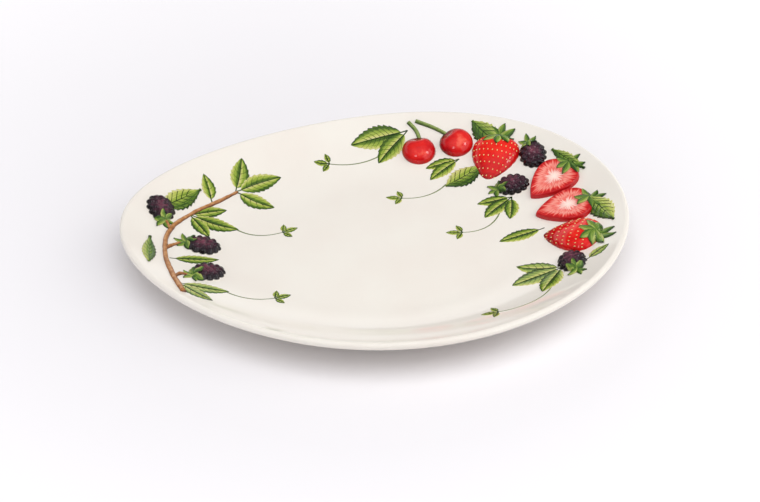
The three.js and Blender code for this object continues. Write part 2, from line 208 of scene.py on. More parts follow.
# Painted leaves on the plan: x and y of the base, then heading, length and width of each leaflet
PAINTED_LEAVES = [
    (47, 119, [(187, 46, 20), (221, 37, 17)]),
    (80, 86, [(187, 27, 11), (212, 31, 13)]),
    (108, 35, [(184, 27, 12), (217, 32, 14), (252, 26, 12)]),
    (121, -8, [(190, 36, 13)]),
    (119, -61, [(153, 33, 16), (190, 39, 19), (229, 34, 16)]),
    (136, -62, [(24, 20, 9)]),
    (-93, 78, [(72, 30, 15), (18, 38, 17), (-36, 32, 15)]),
    (-130, 55, [(10, 28, 12), (-27, 37, 15), (-66, 26, 12)]),
    (-151, 3, [(2, 35, 11)]),
    (-149, -31, [(-10, 35, 14), (-47, 31, 13)]),
    (-112, 68, [(96, 25, 11)]),
]
# Painted runners on the plan: start, bend and end, where a tuft of three small leaves grows
RUNNERS = [
    ((30, 106), (8, 92), (-18, 99)),
    ((64, 62), (48, 46), (28, 52)),
    ((96, 22), (84, -2), (62, 2)),
    ((108, -76), (96, -104), (62, -100)),
    ((-99, 39), (-86, 24), (-66, 29)),
    ((-117, -37), (-104, -50), (-84, -46)),
]
TUFT_SPREAD = 62  # between the headings of a tuft's leaves
TUFT_MIDDLE = 12, 6  # length and width
TUFT_SIDE = 9, 5

# Paint: how strokes stand off the glaze, and how a leaf is drawn
PAINT_THICKNESS = 0.25
PAINT_LIFT = 0.12
PAINT_STEP = 0.07  # between one leaflet and the next, which it overlaps
STROKE_CROWN = 0.05
BLADE_CROWN = 0.08
LINE_CROWN = 0.02
PAINTED_RIB_LIFT = 0.12
PAINTED_VEIN_LIFT = 0.11
RUNNER_THICKNESS = 0.2
RUNNER_LIFT = 0.1
THINNEST_STROKE = 0.25
PAINTED_STALK = 0.12  # share of a leaflet's length
TOOTH_STEPS = 6  # columns of a blade that make one tooth
TOOTH_LENGTH = 4.5
TOOTH_DEPTH = 0.16
LEAF_SWAY = 0.07
PAINTED_VEIN_ROOTS = 0.14, 0.66
PAINTED_VEIN_ADVANCE = 0.17
PAINTED_VEIN_CROSSING = 0.4
SHEET_START = 60.0  # height over its seat that a sheet is dropped from
WELD = 1e-6


# Shape of the dish

def raw_outline(angle):
    """A point of the rim: an ellipse with one blunt end, on an axis that bows and sweeps."""
    cosine, sine = math.cos(angle), math.sin(angle)
    across = (PLATE_WIDTH / 2 + BLUNT_END_SWELL * cosine) * sine
    bowed = across + AXIS_BOW * (cosine * cosine - 0.5) - AXIS_SWEEP * cosine**3
    return Vector((PLATE_LENGTH / 2 * cosine, bowed))


def outline_middle(samples=3600):
    points = [raw_outline(math.tau * i / samples) for i in range(samples)]
    xs, ys = zip(*points)
    return Vector(((min(xs) + max(xs)) / 2, (min(ys) + max(ys)) / 2))


MIDDLE = outline_middle()


def ring_point(angle, share, inset):
    """A point of the outline, moved in by inset and then drawn towards the middle by share."""
    tangent = (raw_outline(angle + ANGLE_STEP) - raw_outline(angle - ANGLE_STEP)).normalized()
    inward = Vector((-tangent.y, tangent.x))
    return (raw_outline(angle) - MIDDLE + inset * inward) * share


def lip_point(angle):
    """Share, inset and height of a ring on the rounded lip."""
    height = RIM_HEIGHT - LIP_RADIUS + LIP_RADIUS * math.sin(angle)
    return 1.0, LIP_RADIUS * (1 - math.cos(angle)), height


LIP_TOP = lip_point(LIP_START)
LIP_UNDER = lip_point(LIP_END)


def wall_height(share, lowest, highest):
    climb = max(0.0, (share - WELL_SHARE) / (1 - WELL_SHARE))
    return lowest + (highest - lowest) * climb**DISH_POWER


def dish_height(share):
    return wall_height(share, WELL_HEIGHT, LIP_TOP[2])


def underside_height(share):
    return wall_height(share, FOOT_HEIGHT, LIP_UNDER[2])


def steps(start, end, count):
    return [start + (end - start) * i / count for i in range(count + 1)]


def plate_section():
    """Share, inset and height of each ring, from the well's middle over the lip to the base's middle."""
    inner = steps(0, WELL_SHARE, WELL_RINGS)[:-1] + steps(WELL_SHARE, 1, WALL_RINGS)
    top = [(share, LIP_TOP[1], dish_height(share)) for share in inner]
    lip = [lip_point(angle) for angle in steps(LIP_START, LIP_END, LIP_RINGS)[1:-1]]
    outer = steps(1, FOOT_SHARE + OUTSIDE_FOOT, UNDERSIDE_RINGS)
    under = [(share, LIP_UNDER[1], underside_height(share)) for share in outer]
    corner = FOOT_ROUNDING * (1 - math.sqrt(0.5))  # half way round the sole's rounded edge
    foot = [
        (0.0, underside_height(FOOT_SHARE)),
        (0.0, FOOT_HEIGHT / 2),
        (0.0, FOOT_ROUNDING),
        (corner, corner),
        (FOOT_ROUNDING, 0.0),
        (FOOT_WIDTH / 2, 0.0),
        (FOOT_WIDTH - FOOT_ROUNDING, 0.0),
        (FOOT_WIDTH - corner, corner),
        (FOOT_WIDTH, FOOT_ROUNDING),
        (FOOT_WIDTH, FOOT_HEIGHT * 0.75),
        (FOOT_WIDTH + FOOT_ROUNDING, FOOT_HEIGHT),
    ]
    sole = [(FOOT_SHARE, inward / FOOT_SHARE, height) for inward, height in foot]
    middle = steps(FOOT_SHARE - INSIDE_FOOT, 0, BASE_RINGS)
    base = [(share, sole[-1][1], FOOT_HEIGHT) for share in middle]
    return top + lip + under + sole + base


def dish_point(bearing, share, lift=0.0):
    plan = ring_point(math.radians(bearing), share, LIP_TOP[1])
    return Vector((plan.x, plan.y, dish_height(share) + lift))


def seat(bearing, share, turn):
    """Frame of a piece on the dish, in metres: +X to the lip, turned, and +Z off the surface."""
    outward = dish_point(bearing, share + SHARE_STEP) - dish_point(bearing, share - SHARE_STEP)
    outward.normalize()
    along = dish_point(bearing + BEARING_STEP, share) - dish_point(bearing - BEARING_STEP, share)
    normal = outward.cross(along).normalized()
    side = normal.cross(outward)
    axes = Matrix((outward, side, normal)).transposed().to_4x4()
    place = Matrix.Translation(dish_point(bearing, share) * MM)
    return place @ axes @ Matrix.Rotation(math.radians(turn), 4, "Z")


# Modelling steps

def pick(*pieces):
    """Selects these pieces alone and makes the first one active."""
    bpy.ops.object.select_all(action="DESELECT")
    for piece in pieces:
        piece.select_set(True)
    bpy.context.view_layer.objects.active = pieces[0]


def wrapped_grid(name, around, along, place):
    """A grid primitive folded into shape: place gives a point in mm for each share round and along it."""
    bpy.ops.mesh.primitive_grid_add(x_subdivisions=around, y_subdivisions=along, size=1)
    piece = bpy.context.object
    piece.name = name
    for vertex in piece.data.vertices:
        vertex.co = Vector(place(vertex.co.x + 0.5, vertex.co.y + 0.5)) * MM
    return piece


def in_edit_mode(piece, *operators):
    """Selects a piece all over and runs mesh operators on it, each given with its settings."""
    pick(piece)
    bpy.ops.object.mode_set(mode="EDIT")
    for operator, settings in operators:
        bpy.ops.mesh.select_all(action="SELECT")
        operator(**settings)
    bpy.ops.object.mode_set(mode="OBJECT")
    return piece


def sewn(piece, *more):
    """Merges a folded grid's seams and poles, does what more asks and turns the faces outwards."""
    return in_edit_mode(
        piece,
        (bpy.ops.mesh.remove_doubles, {"threshold": WELD}),
        *more,
        (bpy.ops.mesh.normals_make_consistent, {"inside": False}),
    )


def bedded(piece, depth):
    """Cuts a piece off flat below its seat and closes the cut."""
    return in_edit_mode(piece, (bpy.ops.mesh.bisect, {
        "plane_co": (0, 0, -depth * MM), "plane_no": (0, 0, -1), "use_fill": True, "clear_outer": True,
    }))


def modified(piece, kind, **settings):
    """Adds a modifier with its settings and applies it."""
    pick(piece)
    modifier = piece.modifiers.new(kind.lower(), kind)
    for name, value in settings.items():
        setattr(modifier, name, value)
    bpy.ops.object.modifier_apply(modifier=modifier.name)
    return piece


def joined(name, pieces):
    pick(*pieces)
    if len(pieces) > 1:
        bpy.ops.object.join()
    pieces[0].name = name
    return pieces[0]


def settled(piece, at=None):
    """Puts a piece in its seat, with the place in its mesh and its object at the origin."""
    pick(piece)
    if at is not None:
        piece.matrix_world = at
    bpy.ops.object.transform_apply(location=True, rotation=True, scale=True)
    bpy.ops.object.shade_smooth()
    return piece


def measured(piece, name, value):
    """Stores a number at each vertex, from its place in mm and its normal before it is seated."""
    numbers = [value(vertex.co / MM, vertex.normal) for vertex in piece.data.vertices]
    layer = piece.data.attributes.new(name, "FLOAT", "POINT")
    layer.data.foreach_set("value", numbers)
    return piece


def finished(piece, material, node=None):
    """Gives a piece its material, the body it rides on and the solid it stands for."""
    piece.data.materials.clear()
    piece.data.materials.append(material)
    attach(piece, "root")
    if node:
        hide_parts(node)
    return piece


def bell(distance):
    """A bell curve that is 1 in the middle."""
    return math.exp(-(distance**2))


# Thin sheets laid on the dish: brush strokes, sepals and leaves

def sheet(columns, rows, place, lift):
    """A flat sheet high over its seat; lift gives how far each point stands off what it is laid on."""
    made = wrapped_grid("sheet", columns, rows, lambda u, v: (*place(u, v), SHEET_START))
    uv = made.data.uv_layers.active.data
    lifts = [0.0] * len(made.data.vertices)
    for loop in made.data.loops:
        lifts[loop.vertex_index] = lift(*uv[loop.index].uv)
    made.data.attributes.new("lift", "FLOAT", "POINT").data.foreach_set("value", lifts)
    return made


def laid(name, sheets, onto, thickness, at=None, under=None):
    """Joins sheets, drops them onto a surface, lifts them by their own relief and gives them thickness."""
    piece = joined(name, sheets)
    if at is not None:
        piece.matrix_world = at
    modified(
        piece, "SHRINKWRAP", wrap_method="PROJECT", target=onto, auxiliary_target=under,
        use_project_z=True, use_negative_direction=True, use_positive_direction=False,
    )
    lifts = piece.data.attributes["lift"].data
    for vertex, lift in zip(piece.data.vertices, lifts):
        vertex.co.z += lift.value * MM
    modified(piece, "SOLIDIFY", thickness=thickness * MM, offset=-1)
    return settled(piece)


def bezier(start, bend, end):
    """Point and direction along a curve of three points."""
    def at(t):
        point = (1 - t) ** 2 * start + 2 * t * (1 - t) * bend + t * t * end
        way = 2 * (1 - t) * (bend - start) + 2 * t * (end - bend)
        return point, way.normalized()
    return at


def stroke(line, width, columns, rows, height, crown):
    """A brush stroke along a line: width gives its breadth at each share of the way."""
    def place(u, v):
        point, way = line(u)
        side = Vector((-way.y, way.x))
        return point + side * (v - 0.5) * width(u)
    return sheet(columns, rows, place, lambda u, v: height + crown * math.sin(math.pi * v))


def leaf_width(full, fullest=0.42, sharpness=0.65):
    """Breadth of a leaf-shaped stroke, fullest some way along, with a blunt tip or a sharp one."""
    power = math.log(0.5) / math.log(fullest)

    def breadth(t):
        swell = math.sin(math.pi * min(max(t, 0.0), 1.0) ** power) ** sharpness
        return max(THINNEST_STROKE, full * swell)
    return breadth


def thin_line(line, width, loss, columns, height, crown=LINE_CROWN):
    """A line drawn with the tip of the brush, which loses a share of its width on the way."""
    return stroke(line, lambda t: width * (1 - loss * t), columns, 2, height, crown)


def darkened(mark):
    """Keeps the whole of a stroke in its darkest stain."""
    for loop in mark.data.uv_layers.active.data:
        loop.uv.y = 0.0
    return mark


# Materials

GLAZE_WHITE = "#F2EDE3"
GLAZE_WARM = "#F0E9DF"
IRON_SPECK = "#B59A78"
BISCUIT = "#D9C3A5"
MIX_A, MIX_B, MIX_RESULT = 6, 7, 2  # the colour sockets of a mix node


def linear(colour):
    """Linear RGBA of an sRGB hex colour."""
    parts = [int(colour[i:i + 2], 16) / 255 for i in (1, 3, 5)]
    return (*[p / 12.92 if p <= 0.04045 else ((p + 0.055) / 1.055) ** 2.4 for p in parts], 1.0)


def add(tree, kind, sockets=None, stops=None, **settings):
    """Adds a node: settings are its properties, stops its ramp's colours, sockets its values or links."""
    made = tree.nodes.new(kind)
    for name, value in settings.items():
        setattr(made, name, value)
    if stops:
        ramp = made.color_ramp.elements
        while len(ramp) < len(stops):
            ramp.new(1.0)
        for element, (position, colour) in zip(ramp, stops):
            element.position = position
            element.color = linear(colour)
    for key, value in (sockets or {}).items():
        if isinstance(value, bpy.types.NodeSocket):
            tree.links.new(value, made.inputs[key])
        else:
            made.inputs[key].default_value = value
    return made


def new_material(name):
    """An empty material with its output and a glossy shader, ready for colour and bump."""
    material = bpy.data.materials.new(name)
    material.use_nodes = True
    tree = material.node_tree
    tree.nodes.clear()
    shader = add(tree, "ShaderNodeBsdfPrincipled", {"Roughness": 0.06, "IOR": 1.5})
    add(tree, "ShaderNodeOutputMaterial", {"Surface": shader.outputs["BSDF"]})
    return material, tree, shader


def per_mm(size):
    """Texture scale that makes a pattern's features about this many mm wide on Object coordinates."""
    return 1.0 / (size * MM)


def white_glaze():
    # Tin-white glaze on cast earthenware, dipped, with the sole wiped bare: a deep gloss
    # with faint warm clouds, a slow ripple and a few iron specks
    material, tree, shader = new_material("tin_white_glaze_on_earthenware")
    place = add(tree, "ShaderNodeTexCoord").outputs["Object"]
    clouds = add(tree, "ShaderNodeTexNoise", {"Vector": place, "Scale": per_mm(45), "Detail": 3.0})
    body = add(tree, "ShaderNodeValToRGB", {"Fac": clouds.outputs["Fac"]}, stops=[
        (0.35, GLAZE_WHITE), (0.7, GLAZE_WARM),
    ])
    grit = add(tree, "ShaderNodeTexVoronoi", {
        "Vector": place, "Scale": per_mm(7), "Randomness": 1.0,
    })
    speck = add(tree, "ShaderNodeMapRange", {
        "Value": grit.outputs["Distance"],
        "From Min": 0.02, "From Max": 0.045, "To Min": 0.3, "To Max": 0.0,
    })
    rare = add(tree, "ShaderNodeTexNoise", {"Vector": place, "Scale": per_mm(30), "Detail": 0.0})
    chosen = add(tree, "ShaderNodeMapRange", {
        "Value": rare.outputs["Fac"], "From Min": 0.55, "From Max": 0.65,
    })
    iron = add(tree, "ShaderNodeMath", {
        0: speck.outputs["Result"], 1: chosen.outputs["Result"],
    }, operation="MULTIPLY")
    speckled = add(tree, "ShaderNodeMix", {
        "Factor": iron.outputs["Value"], MIX_A: body.outputs["Color"], MIX_B: linear(IRON_SPECK),
    }, data_type="RGBA")
    height = add(tree, "ShaderNodeSeparateXYZ", {"Vector": place}).outputs["Z"]
    bare = add(tree, "ShaderNodeMapRange", {
        "Value": height,
        "From Min": 0.35 * MM, "From Max": 0.6 * MM, "To Min": 1.0, "To Max": 0.0,
    })
    colour = add(tree, "ShaderNodeMix", {
        "Factor": bare.outputs["Result"],
        MIX_A: speckled.outputs[MIX_RESULT], MIX_B: linear(BISCUIT),
    }, data_type="RGBA")
    rough = add(tree, "ShaderNodeMapRange", {
        "Value": bare.outputs["Result"], "To Min": 0.04, "To Max": 0.85,
    })
    ripple = add(tree, "ShaderNodeTexNoise", {"Vector": place, "Scale": per_mm(38), "Detail": 0.5})
    bump = add(tree, "ShaderNodeBump", {
        "Height": ripple.outputs["Fac"], "Strength": 0.25, "Distance": 0.4 * MM,
    })
    shader.inputs["IOR"].default_value = 1.6
    tree.links.new(colour.outputs[MIX_RESULT], shader.inputs["Base Color"])
    tree.links.new(rough.outputs["Result"], shader.inputs["Roughness"])
    tree.links.new(bump.outputs["Normal"], shader.inputs["Normal"])
    return material


def brushed_colour(name, stops):
    # Ceramic stain brushed on under a clear glaze: bristle streaks run along the stroke,
    # and one edge and the tip are darker
    material, tree, shader = new_material(name)
    coordinates = add(tree, "ShaderNodeTexCoord")
    uv = add(tree, "ShaderNodeSeparateXYZ", {"Vector": coordinates.outputs["UV"]})
    stretched = add(tree, "ShaderNodeMapping", {
        "Vector": coordinates.outputs["UV"], "Scale": (2.2, 26.0, 1.0),
    })
    patch = add(tree, "ShaderNodeTexNoise", {
        "Vector": coordinates.outputs["Object"], "Scale": per_mm(22),
    })
    shifted = add(tree, "ShaderNodeVectorMath", {
        0: stretched.outputs["Vector"], 1: patch.outputs["Color"],
    }, operation="ADD")
    bristle = add(tree, "ShaderNodeTexNoise", {
        "Vector": shifted.outputs["Vector"], "Scale": 1.0, "Detail": 3.0,
    })
    drift = add(tree, "ShaderNodeMapRange", {
        "Value": bristle.outputs["Fac"],
        "From Min": 0.3, "From Max": 0.7, "To Min": -0.26, "To Max": 0.26,
    })
    cast = add(tree, "ShaderNodeMapRange", {
        "Value": patch.outputs["Fac"], "To Min": -0.25, "To Max": 0.25,
    })
    tip = add(tree, "ShaderNodeMapRange", {
        "Value": uv.outputs["X"],
        "From Min": 0.85, "From Max": 1.0, "To Min": 0.0, "To Max": -0.45,
    })
    shade = uv.outputs["Y"]
    for change in (drift, cast, tip):
        total = add(tree, "ShaderNodeMath", {0: shade, 1: change.outputs["Result"]}, operation="ADD")
        shade = total.outputs["Value"]
    colour = add(tree, "ShaderNodeValToRGB", {"Fac": shade}, stops=stops)
    tree.links.new(colour.outputs["Color"], shader.inputs["Base Color"])
    return material


def stain_with_painted_light(name, stops, band=(0.3, 1.1), streak_mm=5.0):
    # Ceramic stain on raised pieces under a clear glaze, with painted shade at the foot and
    # a painted highlight on the crown, and with white glaze showing below the band of heights
    # where the stain stops
    material, tree, shader = new_material(name)
    place = add(tree, "ShaderNodeTexCoord").outputs["Object"]
    # crown holds painted shade and a painted highlight; the brush streaks below are the stain's own
    crown = add(tree, "ShaderNodeAttribute", attribute_name="crown").outputs["Fac"]
    rise = add(tree, "ShaderNodeAttribute", attribute_name="rise").outputs["Fac"]
    brush = add(tree, "ShaderNodeTexNoise", {
        "Vector": place, "Scale": per_mm(streak_mm), "Detail": 4.0,
    })
    drift = add(tree, "ShaderNodeMapRange", {
        "Value": brush.outputs["Fac"],
        "From Min": 0.3, "From Max": 0.7, "To Min": -0.16, "To Max": 0.16,
    })
    shade = add(tree, "ShaderNodeMath", {0: crown, 1: drift.outputs["Result"]}, operation="ADD")
    colour = add(tree, "ShaderNodeValToRGB", {"Fac": shade.outputs["Value"]}, stops=stops)
    covered = add(tree, "ShaderNodeMapRange", {
        "Value": rise, "From Min": band[0], "From Max": band[1],
    })
    mixed = add(tree, "ShaderNodeMix", {
        "Factor": covered.outputs["Result"],
        MIX_A: linear(GLAZE_WHITE), MIX_B: colour.outputs["Color"],
    }, data_type="RGBA")
    tree.links.new(mixed.outputs[MIX_RESULT], shader.inputs["Base Color"])
    return material


def cut_berry_stain():
    # Stain on the cut face, brushed under a clear glaze: a pale core, pink flesh in rays and a red skin
    material, tree, shader = new_material("cut_strawberry_stain_under_glaze")
    coordinates = add(tree, "ShaderNodeTexCoord")
    uv = add(tree, "ShaderNodeSeparateXYZ", {"Vector": coordinates.outputs["UV"]})
    rays = add(tree, "ShaderNodeMapping", {
        "Vector": coordinates.outputs["UV"], "Scale": (70.0, 2.0, 1.0),
    })
    ray = add(tree, "ShaderNodeTexNoise", {
        "Vector": rays.outputs["Vector"], "Scale": 1.0, "Detail": 2.0,
    })
    drift = add(tree, "ShaderNodeMapRange", {
        "Value": ray.outputs["Fac"],
        "From Min": 0.3, "From Max": 0.7, "To Min": -0.13, "To Max": 0.13,
    })
    shade = add(tree, "ShaderNodeMath", {
        0: uv.outputs["Y"], 1: drift.outputs["Result"],
    }, operation="ADD")
    colour = add(tree, "ShaderNodeValToRGB", {"Fac": shade.outputs["Value"]}, stops=[
        (0.0, "#F7E3D8"), (0.16, "#F3C9BC"), (0.26, "#E2574C"),
        (0.42, "#EE9A8B"), (0.55, "#D8362F"), (0.64, "#B5161A"),
    ])
    rise = add(tree, "ShaderNodeAttribute", attribute_name="rise").outputs["Fac"]
    covered = add(tree, "ShaderNodeMapRange", {"Value": rise, "From Min": 0.1, "From Max": 0.9})
    mixed = add(tree, "ShaderNodeMix", {
        "Factor": covered.outputs["Result"],
        MIX_A: linear(GLAZE_WHITE), MIX_B: colour.outputs["Color"],
    }, data_type="RGBA")
    tree.links.new(mixed.outputs[MIX_RESULT], shader.inputs["Base Color"])
    return material


STAINED_ALL_OVER = -1.0, 0.0  # a band of heights below every point of a stem
GLAZE = white_glaze()
LEAF_GREEN = brushed_colour("leaf_green_stain_under_glaze", [
    (0.0, "#22390F"), (0.25, "#4E7020"), (0.55, "#97AC3E"), (0.85, "#C4C768"), (1.0, "#DBD696"),
])
SPRIG_GREEN = brushed_colour("deep_green_stain_under_glaze", [
    (0.0, "#203612"), (0.4, "#4A7024"), (0.75, "#869F3E"), (1.0, "#BEC26E"),
])
LINE_GREEN = brushed_colour("grey_green_line_under_glaze", [(0.0, "#5F6F48"), (1.0, "#8C9A66")])
STALK_GREEN = stain_with_painted_light("olive_stain_under_glaze", [
    (0.0, "#33491F"), (0.4, "#61793A"), (0.7, "#96A75C"), (1.0, "#C9CE97"),
], band=STAINED_ALL_OVER, streak_mm=3.0)
TWIG_BROWN = stain_with_painted_light("brown_stain_under_glaze", [
    (0.0, "#4A2A18"), (0.3, "#7C4C2C"), (0.55, "#AB713F"), (0.8, "#D3A06C"), (1.0, "#EACBA6"),
], band=STAINED_ALL_OVER, streak_mm=3.5)
SEED_STRAW = brushed_colour("straw_yellow_stain_under_glaze", [(0.0, "#E8C873"), (1.0, "#F6E6B4")])
CHERRY_RED = stain_with_painted_light("cherry_red_stain_under_glaze", [
    (0.0, "#4A0508"), (0.25, "#900A10"), (0.6, "#C20E13"), (0.85, "#D8211B"), (1.0, "#E95C48"),
], streak_mm=7.0)
STRAWBERRY_RED = stain_with_painted_light("strawberry_red_stain_under_glaze", [
    (0.0, "#84070A"), (0.25, "#BE0B0D"), (0.6, "#DA140E"), (0.9, "#E62D1A"), (1.0, "#EE6644"),
], streak_mm=6.0)
BRAMBLE_PURPLE = stain_with_painted_light("bramble_purple_stain_under_glaze", [
    (0.0, "#0B0509"), (0.35, "#1B0D15"), (0.65, "#3D1B29"), (0.9, "#703848"), (1.0, "#945D69"),
], streak_mm=4.0)
CUT_BERRY = cut_berry_stain()


# The plate's body

def plate_body():
    section = plate_section()
    rows = len(section) - 1

    def place(u, v):
        share, inset, height = section[round(v * rows)]
        plan = ring_point(math.tau * u, share, inset)
        return plan.x, plan.y, height

    piece = sewn(wrapped_grid("plate_body_glazed", PLATE_COLUMNS, rows, place))
    modified(piece, "SUBSURF", levels=1, render_levels=1)
    return finished(settled(piece), GLAZE, "plate_body")


PLATE = plate_body()


# Berries

def rise(point, normal):
    """Height of a point over the berry's seat, which says where its stain begins."""
    return point.z


def painted_crown_light(foot, gain, relief, tilt):
    """Painted shade and highlight: dark at a berry's foot, light at its crown, drifting along its length."""
    return lambda point, normal: foot + gain * max(0.0, point.z) / relief + tilt * point.x


def heart_radius(station):
    """Half breadth of a strawberry, as a share of the greatest, at each share of the way to its tip."""
    if not 0 < station < 1:
        return 0.0
    return math.sin(math.pi * station**HEART_SHOULDER) ** HEART_ROUNDNESS


def cherry(index, place):
    radius = CHERRY_DIAMETER / 2
    tip = math.radians(CHERRY_TIP)

    def shape(u, v):
        around, polar = math.tau * u, math.pi * v
        dimple = CHERRY_DIMPLE * bell(polar / DIMPLE_SPREAD)
        cleft = CHERRY_CLEFT * bell(math.sin(math.pi * u) / CLEFT_SPREAD) * math.sin(polar) ** 2
        reach = radius * math.sin(polar) - cleft
        x, y = reach * math.cos(around), reach * math.sin(around)
        z = radius * math.cos(polar) - dimple
        forward = x * math.cos(tip) + z * math.sin(tip)
        height = z * math.cos(tip) - x * math.sin(tip)
        return forward, y, height * CHERRY_RELIEF / radius

    name = f"cherry_{index}"
    piece = bedded(sewn(wrapped_grid(name + "_glazed", around=48, along=32, place=shape)), SUNK)
    measured(piece, "rise", rise)
    # crown: painted shade at the foot and a painted highlight on top
    measured(piece, "crown", painted_crown_light(foot=0.1, gain=0.75, relief=CHERRY_RELIEF, tilt=-0.02))
    return finished(settled(piece, seat(*place)), CHERRY_RED, name)


def seed_spots():
    """Station and angle of each seed, in staggered rows along the berry."""
    spots = []
    for row, station in enumerate(steps(*SEED_STATIONS, SEED_ROWS - 1)):
        count = max(FEWEST_SEEDS, round(MOST_SEEDS * heart_radius(station)))
        shift = 0.25 + 0.5 * (row % 2)
        spots += [(station, math.pi * (i + shift) / count) for i in range(count)]
    return spots


def strawberry_point(station, angle, out=0.0):
    radius = STRAWBERRY_WIDTH / 2 * heart_radius(station)
    height = STRAWBERRY_RELIEF / (STRAWBERRY_WIDTH / 2)
    return Vector((
        STRAWBERRY_LENGTH * (0.5 - station),
        (radius + out) * math.cos(angle),
        (radius + out) * height * math.sin(angle),
    ))


def strawberry_seeds(name, spots, place):
    """Grains that lie in the pits, away from the berry's foot."""
    seeds = []
    for station, angle in spots:
        if not SEED_MARGIN < angle / math.pi < 1 - SEED_MARGIN:
            continue
        bpy.ops.mesh.primitive_ico_sphere_add(subdivisions=2, radius=SEED_RADIUS * MM)
        seed = bpy.context.object
        seed.scale = SEED_STRETCH
        seed.location = strawberry_point(station, angle, -SEED_SUNK) * MM
        seeds.append(settled(seed))
    finished(settled(joined(name, seeds), seat(*place)), SEED_STRAW)


def strawberry(index, place):
    spots = seed_spots()
    pits = [strawberry_point(*spot) for spot in spots]

    def shape(u, v):
        station, angle = 0.5 - 0.5 * math.cos(math.pi * v), math.tau * u
        point = strawberry_point(station, angle)
        if point.z <= 0:
            return point
        nearest = min((point - pit).length for pit in pits)
        return strawberry_point(station, angle, -PIT_DEPTH * bell(nearest / PIT_RADIUS))

    name = f"strawberry_{index}"
    piece = bedded(sewn(wrapped_grid(name + "_glazed", around=96, along=56, place=shape)), SUNK)
    measured(piece, "rise", rise)
    # crown: painted shade at the foot and a painted highlight on top
    measured(piece, "crown", painted_crown_light(foot=0.12, gain=0.62, relief=STRAWBERRY_RELIEF, tilt=0.008))
    finished(settled(piece, seat(*place)), STRAWBERRY_RED, name)
    strawberry_seeds(name + "_seeds", spots, place)
    return piece


def half_outline(turn):
    """Point of the half berry's outline: from the shoulder down one side to the tip and up the other."""
    station = 1 - abs(1 - 2 * turn)
    breadth = HALF_BERRY_WIDTH / 2 * heart_radius(station)
    return Vector((HALF_BERRY_LENGTH * (0.5 - station), breadth if turn < 0.5 else -breadth))


def half_berry(index, place):
    core = Vector((HALF_BERRY_CORE, 0.0))

    def shape(u, v):
        side, way = divmod(2 * u, 1)
        rim = half_outline((side + (0.5 - 0.5 * math.cos(math.pi * way))) / 2) - core
        if v <= CUT_ROWS:
            share = CUT_EDGE * v / CUT_ROWS
            hollow = HOLLOW_DEPTH * math.cos(math.pi / 2 * min(1.0, share / HOLLOW_SHARE))
            groove = GROOVE_DEPTH * bell((share - GROOVE_SHARE) / GROOVE_SPREAD)
            point = core + rim * share
            return point.x, point.y, HALF_BERRY_RELIEF - hollow - groove
        roll = (v - CUT_ROWS) / (1 - CUT_ROWS) * math.pi / 2
        point = core + rim * (CUT_EDGE + (1 - CUT_EDGE) * math.sin(roll))
        drop = (HALF_BERRY_RELIEF + SUNK) * (1 - math.cos(roll)) ** SIDE_POWER
        return point.x, point.y, HALF_BERRY_RELIEF - drop

    name = f"strawberry_half_{index}"
    closed = bpy.ops.mesh.fill_holes, {"sides": 0}
    piece = sewn(wrapped_grid(name + "_glazed", around=96, along=40, place=shape), closed)
    measured(piece, "rise", rise)
    return finished(settled(piece, seat(*place)), CUT_BERRY, name)


def drupelet_places(relief):
    """Centres of the drupelets in rings over the berry, from the crown down."""
    places = []
    for ring, count in enumerate(DRUPELET_RINGS):
        polar = ring * math.radians(DRUPELET_RING_STEP)
        for i in range(count):
            around = math.tau * (i + 0.5 * (ring % 2)) / count
            places.append(Vector((
                (BRAMBLE_LENGTH / 2 - DRUPELET_RADIUS) * math.sin(polar) * math.cos(around),
                (BRAMBLE_WIDTH / 2 - DRUPELET_RADIUS) * math.sin(polar) * math.sin(around),
                (relief - DRUPELET_RADIUS) * math.cos(polar),
            )))
    return places


def bramble(index, bearing, share, turn, relief):
    half_length, half_width = BRAMBLE_LENGTH / 2, BRAMBLE_WIDTH / 2
    bpy.ops.mesh.primitive_uv_sphere_add(segments=24, ring_count=14, radius=MM)
    core = bpy.context.object
    core.scale = (
        half_length - BRAMBLE_CORE_INSET,
        half_width - BRAMBLE_CORE_INSET,
        relief - BRAMBLE_CORE_DROP,
    )
    balls = [settled(core)]
    shuffle = random.Random(index)
    for centre in drupelet_places(relief):
        size = DRUPELET_RADIUS * shuffle.uniform(*DRUPELET_SPREAD)
        bpy.ops.mesh.primitive_ico_sphere_add(subdivisions=3, radius=size * MM, location=centre * MM)
        balls.append(settled(bpy.context.object))
    name = f"bramble_{index}"
    piece = joined(name + "_glazed", balls)
    modified(piece, "REMESH", mode="VOXEL", voxel_size=BRAMBLE_VOXEL * MM)
    modified(piece, "SMOOTH", factor=0.5, iterations=3)
    bedded(piece, SUNK)

    def crown(point, normal):
        """Painted shade and highlight: darker towards the foot, lighter where a drupelet faces up."""
        spread = (point.x / half_length) ** 2 + (point.y / half_width) ** 2
        return 0.38 - 0.7 * spread + 0.45 * normal.z

    measured(piece, "rise", rise)
    measured(piece, "crown", crown)
    at = seat(bearing, share, turn)
    return finished(settled(piece, at), BRAMBLE_PURPLE, name)


for i, place in enumerate(CHERRIES, 1):
    cherry(i, place)
strawberries = [strawberry(i, place) for i, place in enumerate(STRAWBERRIES, 1)]
half_berries = [half_berry(i, place) for i, place in enumerate(HALF_BERRIES, 1)]
brambles = [bramble(i, *place) for i, place in enumerate(BRAMBLES, 1)]


# Caps: pointed sepals that lie from the stalk end over the berry and onto the dish

